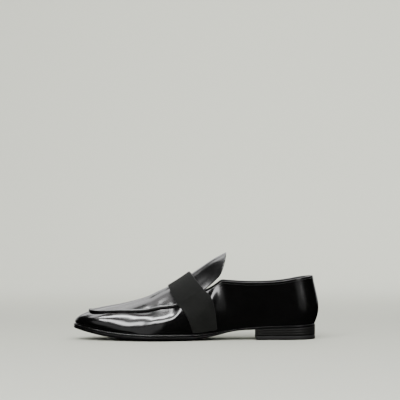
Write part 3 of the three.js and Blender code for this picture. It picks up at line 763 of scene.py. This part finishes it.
# Station on the sole's edge, then the wall's lower handle (outward, up) and upper one (outward,
# down): outward in ball widths, up and down in shares of the wall's height.
WALLS = np.array([
    (0.000, 0.146, 0.310, 0.051, 0.600),
    (0.120, 0.005, 0.305, 0.020, 0.525),
    (0.260, -0.018, 0.373, 0.020, 0.456),
    (0.350, -0.010, 0.460, 0.020, 0.395),
    (0.420, 0.048, 0.540, 0.030, 0.330),
    (0.470, 0.095, 0.510, 0.120, 0.305),
    (0.540, 0.029, 0.480, 0.051, 0.401),
    (0.600, 0.017, 0.497, 0.093, 0.375),
    (0.635, -0.003, 0.535, 0.119, 0.376),
    (0.670, -0.033, 0.568, 0.112, 0.370),
    (0.700, -0.034, 0.534, 0.120, 0.385),
    (0.735, -0.007, 0.336, 0.093, 0.196),
    (0.765, 0.030, 0.254, 0.061, 0.100),
    (0.800, 0.068, 0.174, 0.046, 0.100),
    (0.860, 0.095, 0.224, 0.073, 0.268),
    (0.920, 0.097, 0.238, 0.113, 0.398),
    (1.000, 0.036, 0.190, 0.142, 0.310),
])
# Station, drop of the quarter's front edge below the tongue's.
THROAT = np.array([
    (0.370, THROAT_GAP),
    (0.410, 0.96 * THROAT_GAP),
    (0.443, 0.70 * THROAT_GAP),
    (0.475, 0.40 * THROAT_GAP),
    (0.500, 0.17 * THROAT_GAP),
    (VAMP_END, 0.0),
])
# Station, height of the quarters' topline.
TOPLINE = np.array([
    (0.00, lerp(SIDE_HEIGHT, BACK_HEIGHT, 1.08)),
    (0.06, lerp(SIDE_HEIGHT, BACK_HEIGHT, 0.82)),
    (0.15, lerp(SIDE_HEIGHT, BACK_HEIGHT, 0.24)),
    (0.25, SIDE_HEIGHT),
    (0.34, lerp(SIDE_HEIGHT, BACK_HEIGHT, 0.10)),
    (0.40, lerp(SIDE_HEIGHT, BACK_HEIGHT, 0.28)),
    (0.45, lerp(SIDE_HEIGHT, BACK_HEIGHT, 0.40)),
])
# Distances from the seam or the cut edge, where rows stand close together.
NEAR_ROWS = np.array([0, 0.35, 0.7, 1.05, 1.4, 1.8, 2.3, 2.9, 3.7, 4.8, 6.2]) * MM
# Apron's raised edge: how far its flank bulges, and the ridge inside it (distance, height, half
# width).
FLANK_BULGE = 0.5 * MM
SEAM_RIDGE = (0.7 * MM, 0.45 * MM, 0.8 * MM)
BACK_GROOVE = 0.35 * MM
TOPLINE_INSET = 2.2 * MM
TOPLINE_STITCH = 2.4 * MM
TOPLINE_STITCH_SIZE = (0.8 * TOPLINE_STITCH, 0.5 * MM, 0.26 * MM)
# Flexing creases over the ball: station on the crest, bow towards the toe in stations, depth,
# half width.
CREASES = [
    (0.690, 0.020, 0.10 * MM, 4.4 * MM),
    (0.655, 0.026, 0.07 * MM, 5.0 * MM),
    (0.625, 0.030, 0.05 * MM, 4.6 * MM),
]
instep_plan = PlanCurve(INSTEP_LINE, (0.038, 0.938), (0.09, 0.075), (2.0, 2.4))
instep_height = spline(INSTEP_LINE, 3)
crest_height = spline(CREST_LINE, 1)
crown_bow = spline(CROWN, 1)
arch_power = spline(CROWN, 2)
wall_shape = [spline(WALLS, column) for column in range(1, 5)]
throat_gap = spline(THROAT, 1)
topline_height = spline(TOPLINE, 1)


def feather_height(station):
    """Foot of the upper: on the welt in front, on the outsole behind it."""
    step = (welt_thickness(station) + FIT) * ramp(WELT_END - 0.035, WELT_END - 0.005, station)
    return sole_top(station) + FIT + step


def instep_point(ring):
    """Point of the instep line: its plan curve, at the line's height."""
    station = instep_plan.station_at(side_and_share(ring)[1])
    return upright(instep_plan.point(ring), instep_height(station))


def seam_step(ring):
    """How far the vamp's edge lies below the apron's: SEAM_STEP, run out to 0 under the band."""
    station = instep_plan.station_at(side_and_share(ring)[1])
    return SEAM_STEP * ramp(*STEP_RUNOUT, station)


def wall_point(ring, level):
    """Last's wall: the cubic Bezier curve foot, lower handle, upper handle, head at a level 0 to 1."""
    ring, level = np.broadcast_arrays(ring, level)
    station = sole_plan.station_at(side_and_share(ring)[1])
    foot = upright(inside_sole(ring, edge_reach(station)), feather_height(station))
    head = instep_point(ring)
    head[..., 2] -= seam_step(ring)
    rise = head[..., 2] - foot[..., 2]
    swing, up, turn, down = (shape(station) for shape in wall_shape)
    lower = foot + upright(sole_plan.outward(ring) * (swing * BALL_WIDTH)[..., None], up * rise)
    upper = head + upright(instep_plan.outward(ring) * (turn * BALL_WIDTH)[..., None], -down * rise)
    t = level[..., None]
    u = 1 - t
    return foot * u ** 3 + 3 * lower * u * u * t + 3 * upper * u * t * t + head * t ** 3


def crown_point(share, across):
    """Crown: straight line between the seam's two sides + (top - middle) * (1 - |across|^power)."""
    share, across = np.broadcast_arrays(share, across)
    outer, inner = instep_point(share), instep_point(2 - share)
    station = instep_plan.station_at(share)
    crest = np.minimum(INSTEP_LINE[-1, 0], station + crown_bow(station))
    middle = (outer + inner) / 2
    height = np.maximum(middle[..., 2], crest_height(crest))
    top = np.stack([along(crest), middle[..., 1], height], -1)
    arch = 1 - np.abs(across) ** arch_power(station)
    return outer + (inner - outer) * ((1 + across) / 2)[..., None] + (top - middle) * arch[..., None]


def cut_level(ring):
    """Level at which the wall is cut: 1 along the vamp, and behind it where the height meets the
    lower of the throat's edge and the topline, their corner rounded over CORNER_ROUND."""
    low, high = np.full(ring.shape, 0.3), np.ones(ring.shape)
    for _ in range(30):
        level = (low + high) / 2
        point = wall_point(ring, level)
        station = station_of(point)
        throat = instep_height(station) - throat_gap(station)
        topline = topline_height(station)
        blend = np.maximum(0, 1 - np.abs(throat - topline) / CORNER_ROUND)
        limit = np.minimum(throat, topline) - blend ** 2 * CORNER_ROUND / 4
        below = point[..., 2] < limit
        low, high = np.where(below, level, low), np.where(below, high, level)
    in_front = instep_plan.station_at(side_and_share(ring)[1]) >= VAMP_END - 1e-9
    return np.where(in_front, 1.0, high)


def point_normals(points, faces):
    """Normal at each point: the sum of its triangles' areas times their normals, made unit."""
    a, b, c = (points[faces[:, k]] for k in range(3))
    total = np.zeros_like(points)
    for corner in range(3):
        np.add.at(total, faces[:, corner], np.cross(b - a, c - a))
    return total / np.maximum(np.linalg.norm(total, axis=1, keepdims=True), 1e-20)


def open_edges(faces):
    """Directed edges of triangles that no other triangle runs the other way."""
    edges = np.concatenate([faces[:, [0, 1]], faces[:, [1, 2]], faces[:, [2, 0]]])
    count = faces.max() + 1
    forward, backward = edges[:, 0] * count + edges[:, 1], edges[:, 1] * count + edges[:, 0]
    return edges[~np.isin(forward, backward)]


def cut_hide(points, faces, raised, thickness, steps=4):
    """Closed body of a sheet: outer face = point + raised * normal, inner face = outer - thickness
    * normal, joined by a half-round cut edge, middle + thickness / 2 * (cos a * normal + sin a *
    sideways) for a from 0 to 180 degrees. Also says of each triangle 0 outside and edge, 1 inside."""
    normals = point_normals(points, faces)
    outer = points + normals * np.broadcast_to(raised, len(points))[:, None]
    inner = outer - normals * thickness
    edges = open_edges(faces)
    run = points[edges[:, 1]] - points[edges[:, 0]]
    sideways = np.zeros_like(points)
    for end in range(2):
        np.add.at(sideways, edges[:, end], np.cross(run, normals[edges[:, end]]))
    rim, order = np.unique(edges, return_inverse=True)
    order = order.reshape(edges.shape)
    aside = sideways[rim] / np.linalg.norm(sideways[rim], axis=1, keepdims=True)
    angle = np.linspace(0, math.pi, steps + 1)[1:-1, None, None]
    middle = (outer[rim] + inner[rim]) / 2
    rows = middle + thickness / 2 * (np.cos(angle) * normals[rim] + np.sin(angle) * aside)
    count = len(points)
    ids = np.concatenate([rim[None], 2 * count + np.arange(rows[..., 0].size).reshape(steps - 1, -1),
                          count + rim[None]])
    start, end = ids[:, order[:, 0]], ids[:, order[:, 1]]
    lower = np.stack([start[:-1], start[1:], end[1:]], -1)
    upper = np.stack([start[:-1], end[1:], end[:-1]], -1)
    strip = np.concatenate([lower, upper]).reshape(-1, 3)
    body = np.concatenate([faces, strip, count + faces[:, ::-1]])
    side = np.repeat([0, 0, 1], [len(faces), len(strip), len(faces)])
    return np.concatenate([outer, inner, rows.reshape(-1, 3)]), body, side


def wall_levels(ring, top, count=26):
    """Levels from the foot to the cut, the last ones NEAR_ROWS below it: top - distance / speed."""
    step = wall_point(ring, top) - wall_point(ring, top - 0.01)
    speed = np.linalg.norm(step, axis=-1) / 0.01
    near = top[..., None] - NEAR_ROWS[::-1] / speed[..., None]
    first = near[..., :1]
    even = np.linspace(0, 1, count + 1)[:-1] * first
    return np.concatenate([even, near], -1)


def crown_steps(share, count=34):
    """Positions across the crown, NEAR_ROWS inside both seams and even between them."""
    slope = crown_point(share, -1.0 + 0 * share) - crown_point(share, -0.98 + 0 * share)
    speed = np.linalg.norm(slope, axis=-1) / 0.02
    near = np.minimum(NEAR_ROWS / np.maximum(speed, 1e-6)[..., None],
                      np.linspace(0, 0.6, len(NEAR_ROWS)))
    inner = 1 - near[..., -1:]
    even = np.linspace(-1, 1, count + 2)[1:-1] * inner
    return np.concatenate([near - 1, even, 1 - near[..., ::-1]], -1)


def seam_flank(ring, steps=5):
    """Apron's rolled edge: from the vamp's edge up to the apron's, + FLANK_BULGE * sin(pi s)^0.7
    outwards."""
    s = np.linspace(0, 1, steps + 2)[1:-1]
    low, high = wall_point(ring, 1.0)[:, None], instep_point(ring)[:, None]
    bulge = FLANK_BULGE * np.sin(math.pi * s) ** 0.7 * seam_step(ring)[:, None] / SEAM_STEP
    swell = upright(instep_plan.outward(ring)[:, None] * bulge[..., None], 0.0)
    return lerp(low, high, s[:, None]) + swell


def upper_sheet():
    """Last's surface from the feather edge to the topline, and over the crown as far as the toe.

    Quarters run (ring, level) from the vamp's end round the back; the vamp runs (share, around)
    from the outer foot over the crown to the inner foot. Also gives 1 for points on the crown."""
    end = float(instep_plan.share_at(VAMP_END))
    spread = np.linspace(-1, 1, 301)
    back = end * np.sign(spread) * np.abs(spread) ** 1.5
    quarters = wall_point(back[:, None], wall_levels(back, cut_level(back)))
    turn = np.linspace(0, 1, 150)
    share = lerp(end, 1.0, lerp(turn, np.sin(turn * math.pi / 2), 0.55))
    ones = np.ones_like(share)
    outer = wall_point(share[:, None], wall_levels(share, ones))
    inner = wall_point(2 - share[:, None], wall_levels(2 - share, ones))
    crown = crown_point(share[:, None], crown_steps(share))
    outer = np.concatenate([outer, seam_flank(share)], 1)
    inner = np.concatenate([inner, seam_flank(2 - share)], 1)
    vamp = np.concatenate([outer, crown, inner[:, ::-1]], 1)
    count = quarters[..., 0].size
    points = np.concatenate([quarters.reshape(-1, 3), vamp.reshape(-1, 3)])
    faces = np.concatenate([grid_faces(*quarters.shape[:2])[:, ::-1],
                            count + grid_faces(*vamp.shape[:2])[:, ::-1]])
    crown_rows = np.zeros(vamp.shape[:2])
    crown_rows[:, outer.shape[1]:outer.shape[1] + crown.shape[1]] = 1
    return points, faces, np.concatenate([np.zeros(count), crown_rows.ravel()])


def bump(x, middle, width):
    """Bell curve: e to the power of -((x - middle) / width)^2."""
    return np.exp(-((x - middle) / width) ** 2)


def seam_relief(points):
    """Ridge along the apron's edge: SEAM_RIDGE as a bump over the distance from the seam."""
    ring = np.linspace(0.3, 1.7, 1100)
    line = instep_point(ring)
    parts = [np.linalg.norm(part[:, None] - line, axis=-1) for part in np.array_split(points, 40)]
    distance = np.concatenate([part.min(1) for part in parts])
    nearest = np.concatenate([part.argmin(1) for part in parts])
    middle, height, width = SEAM_RIDGE
    return seam_step(ring[nearest]) / SEAM_STEP * height * bump(distance, middle, width)


def crease_relief(points):
    """Soft troughs across the apron, each -depth * bump and a lip half as high 1.6 widths ahead."""
    station = station_of(points)
    aside = (points[:, 1] - instep_plan.centre(station)) / (APRON_WIDTH / 2)
    total = np.zeros(len(points))
    for middle, bow, depth, width in CREASES:
        ahead = (station - middle + bow * np.minimum(aside ** 2, 4)) * SHOE_LENGTH
        fade = np.maximum(0, 1 - aside ** 4)
        total += fade * depth * (0.5 * bump(ahead, 1.6 * width, width) - bump(ahead, 0, width))
    return total


def back_seam_relief(points):
    """Closed seam down the back: a groove of BACK_GROOVE with a low swell on both sides."""
    at_back = points[:, 0] > along(0.12)
    groove = BACK_GROOVE * (0.35 * bump(np.abs(points[:, 1]), 1.5 * MM, 0.9 * MM)
                            - bump(points[:, 1], 0, 0.35 * MM))
    return np.where(at_back, groove, 0)


def topline_stitches():
    """Row of stitches TOPLINE_INSET below the quarters' edge, TOPLINE_STITCH apart, from front
    corner to front corner round the back."""
    end = float(instep_plan.share_at(0.47))
    ring = np.linspace(-end, end, 4001)
    line = quarter_point(ring, TOPLINE_INSET)
    run = np.concatenate([[0], np.cumsum(np.linalg.norm(np.diff(line, axis=0), axis=1))])
    count = round(run[-1] / TOPLINE_STITCH)
    ring = np.interp((np.arange(count) + 0.5) * run[-1] / count, run, ring)
    step = 0.0004
    runs = unit(quarter_point(ring + step, TOPLINE_INSET) - quarter_point(ring - step, TOPLINE_INSET))
    down = unit(quarter_point(ring, TOPLINE_INSET + MM) - quarter_point(ring, TOPLINE_INSET))
    outward = unit(np.cross(runs, down))
    outward *= np.sign((outward[:, :2] * sole_plan.outward(ring)).sum(1))[:, None]
    aside = unit(np.cross(outward, runs))
    middles = quarter_point(ring, TOPLINE_INSET) + ORIGIN
    return stitch_row(middles, runs, aside, outward, *TOPLINE_STITCH_SIZE)


def quarter_point(ring, inset):
    """Point of the quarters at a distance below their cut edge, measured along the wall."""
    top = cut_level(ring)
    step = wall_point(ring, top) - wall_point(ring, top - 0.01)
    return wall_point(ring, top - inset / (np.linalg.norm(step, axis=-1) / 0.01))


def patent_leather():
    """Calf under polyurethane lacquer, cast glossy and a little worn: near black, bright at a slant,
    with the faint waviness of lacquer over hide and the hide's pores just showing."""
    finish, tree, shader, place = material("patent_calf")
    wave = node(tree, "TexNoise", Vector=place, Scale=1 / (14 * MM), Detail=1.0)
    pores = node(tree, "TexVoronoi", Vector=place, Scale=1 / (0.8 * MM))
    tone = node(tree, "MixRGB", Fac=wave, Color1="#050505", Color2="#090909")
    handled = node(tree, "MapRange", Value=wave, To_Min=0.15, To_Max=0.19)
    broad = node(tree, "Bump", Strength=0.09, Distance=0.5 * MM, Height=wave)
    fine = node(tree, "Bump", Strength=0.04, Distance=0.05 * MM, Height=pores, Normal=broad)
    wire(tree, shader, Base_Color=tone, Roughness=handled, Normal=fine, IOR=1.5, Coat_Weight=0.2,
         Coat_Roughness=0.08)
    return finish


patent_calf = patent_leather()
points, faces, on_crown = upper_sheet()
relief = on_crown * (seam_relief(points) + crease_relief(points)) + back_seam_relief(points)
points, faces, relief = weld(points + ORIGIN, faces, relief)
body, body_faces, side = cut_hide(points, faces, relief, UPPER_WALL)
upper = place_mesh("patent_upper", body, body_faces, [patent_calf, calf_lining], side)
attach(upper, "root")
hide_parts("upper")

topline_thread = place_mesh("topline_stitches", *topline_stitches(), [thread])
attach(topline_thread, "root")


# Tongue: the apron's patent leather carried on up the instep, its free end rounded, its edge
# turned and lacquered. It is lapped under the vamp and held by the band.
TONGUE_FOOT = 0.548
TONGUE_TIP = 0.385
TONGUE_ROUND = 0.035
TONGUE_WALL = 1.6 * MM


def tongue_end(across):
    """Free end: its corners stand ahead of the tip by TONGUE_ROUND * (1 - (1 - |u|^3)^(1/3))."""
    corner = TONGUE_ROUND * (1 - np.cbrt(np.maximum(0, 1 - np.abs(across) ** 3)))
    return TONGUE_TIP + corner - crown_bow(TONGUE_TIP) * (1 - across ** 2)


def tongue_sheet():
    """Crown from the lap under the vamp to the free end, narrowed where the lap is hidden."""
    across = np.sin(np.linspace(-1, 1, 71) * math.pi / 2)[None, :]
    step = np.linspace(0, 1, 110)[:, None]
    station = lerp(TONGUE_FOOT, tongue_end(across), step)
    lap = lerp(1, 0.9, ramp(VAMP_END - 0.02, VAMP_END, station))
    rows = crown_point(instep_plan.share_at(station), across * lap)
    return weld(rows.reshape(-1, 3) + ORIGIN, grid_faces(*rows.shape[:2]))


points, faces = tongue_sheet()
body, body_faces, side = cut_hide(points, faces, -(UPPER_WALL + 1.5 * FIT), TONGUE_WALL)
tongue = place_mesh("patent_tongue", body, body_faces, [patent_calf, calf_lining], side)
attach(tongue, "root")
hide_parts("tongue")


# Instep band: black grosgrain ribbon laid flat over the instep and carried down both sides into
# the sole seam. Its weft ribs run across it, between two woven selvedges.
BAND_WALL = 1.2 * MM
BAND_WIDTH = 31.6 * MM
# Station of the band's middle and share of its width, at the instep line and at the foot.
BAND_SEAM = (0.5245, 0.94)
BAND_FOOT = (0.4655, 0.86)
RIB_PITCH = 1.5 * MM
RIB_HEIGHT = 0.11 * MM
SELVEDGE = 1.1 * MM
SELVEDGE_HEIGHT = 0.1 * MM
# Points along each rib.
RIB_STEPS = 6


def band_station(place, across):
    """Station at a place across the band: middle + across * share of the width."""
    middle, spread = place
    return middle + across * spread * BAND_WIDTH / SHOE_LENGTH


def band_line(across):
    """Line along the band from the outer foot over the crown to the inner foot, closely spaced."""
    share = instep_plan.share_at(band_station(BAND_SEAM, across))
    foot = sole_plan.share_at(band_station(BAND_FOOT, across))
    level = np.linspace(0.035, 1, 160)
    place = lerp(foot, share, level ** lerp(1.45, 1.15, across + 0.5))
    over = crown_point(share, np.linspace(-1, 1, 260)[1:-1])
    return np.concatenate([wall_point(place, level), over, wall_point(2 - place, level)[::-1]])


def evenly(line, count):
    """The line's points again, at even distances along it, and those distances."""
    run = np.concatenate([[0], np.cumsum(np.linalg.norm(np.diff(line, axis=0), axis=1))])
    at = np.linspace(0, run[-1], count)
    return np.stack([np.interp(at, run, line[:, k]) for k in range(3)], 1), at


def ribbon_sheet():
    """Ribbon as (across, along) and its relief: RIB_HEIGHT * cos(2 pi * distance / RIB_PITCH)."""
    across = np.linspace(-0.5, 0.5, 25)
    middle_length = evenly(band_line(0.0), 3)[1][-1]
    ribs = round(middle_length / RIB_PITCH)
    rows = np.stack([evenly(band_line(u), ribs * RIB_STEPS + 1)[0] for u in across])
    count = np.arange(rows.shape[1]) / RIB_STEPS
    inside = (0.5 - np.abs(across[:, None])) * BAND_WIDTH
    woven = RIB_HEIGHT * np.cos(2 * math.pi * count)[None, :] * ramp(0, SELVEDGE, inside)
    selvedge = SELVEDGE_HEIGHT * bump(inside, 0.5 * SELVEDGE, 0.5 * SELVEDGE)
    return rows, woven + selvedge


def grosgrain():
    """Black rayon grosgrain: warp threads over thick weft ribs, dull with a soft sheen aslant."""
    finish, tree, shader, place = material("black_grosgrain")
    thread = node(tree, "TexNoise", Vector=place, Scale=1 / (0.4 * MM), Detail=2.0)
    cloth = node(tree, "TexNoise", Vector=place, Scale=1 / (12 * MM), Detail=3.0)
    blend = node(tree, "Math", {"operation": "MULTIPLY_ADD"}, _0=thread, _1=0.6, _2=cloth)
    tone = node(tree, "MapRange", Value=blend, From_Min=0.4, From_Max=1.2)
    dye = node(tree, "MixRGB", Fac=tone, Color1="#0c0d0c", Color2="#161715")
    relief = node(tree, "Bump", Strength=0.4, Distance=0.1 * MM, Height=thread)
    wire(tree, shader, Base_Color=dye, Roughness=0.75, Specular_IOR_Level=0.15,
         Sheen_Weight=0.12, Sheen_Roughness=0.45, Normal=relief)
    return finish


rows, relief = ribbon_sheet()
points = rows.reshape(-1, 3) + ORIGIN
faces = grid_faces(*rows.shape[:2])[:, ::-1]
body, body_faces, _ = cut_hide(points, faces, 1.5 * FIT + BAND_WALL + relief.ravel(), BAND_WALL)
band = place_mesh("grosgrain_band", body, body_faces, [grosgrain()])
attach(band, "root")
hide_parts("instep_band")
